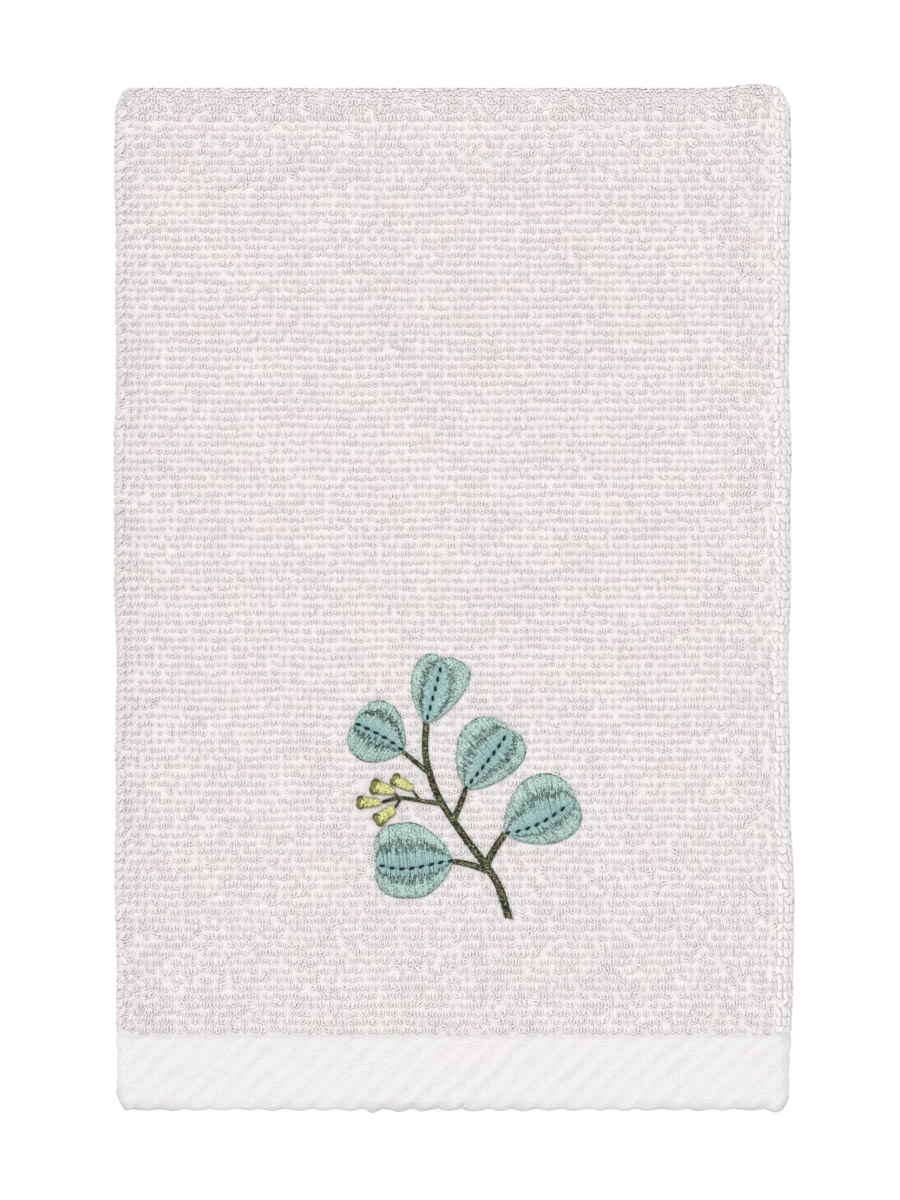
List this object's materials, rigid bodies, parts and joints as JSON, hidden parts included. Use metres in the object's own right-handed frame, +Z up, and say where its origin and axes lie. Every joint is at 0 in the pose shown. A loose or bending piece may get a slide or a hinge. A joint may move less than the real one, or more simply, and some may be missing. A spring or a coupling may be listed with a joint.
{
  "type": "folded hand towel",
  "caption": "Pale terry hand towel folded into a rectangle, flat twill heading along the lower edge, with a raised eucalyptus sprig stitched near one end.",
  "frame": {"origin": "centre of the folded towel's flat underside", "axes": "+X across the face to the right, +Y along it from the heading to the top fold, +Z up out of the face"},
  "size_m": [0.1572, 0.2378, 0.0251],
  "materials": {
    "cotton": "looped cotton terry, matt, with flat woven heading",
    "stem_thread": "embroidery thread, soft sheen",
    "leaf_thread": "embroidery thread, soft sheen",
    "bud_thread": "embroidery thread, soft sheen"
  },
  "bodies": {
    "root": {"towel": "cotton", "stem": "stem_thread", "leaf_1": "leaf_thread", "leaf_2": "leaf_thread", "leaf_3": "leaf_thread", "leaf_4": "leaf_thread", "leaf_5": "leaf_thread", "bud_1": "bud_thread", "bud_2": "bud_thread", "bud_3": "bud_thread", "bud_4": "bud_thread"}
  },
  "joints": []
}
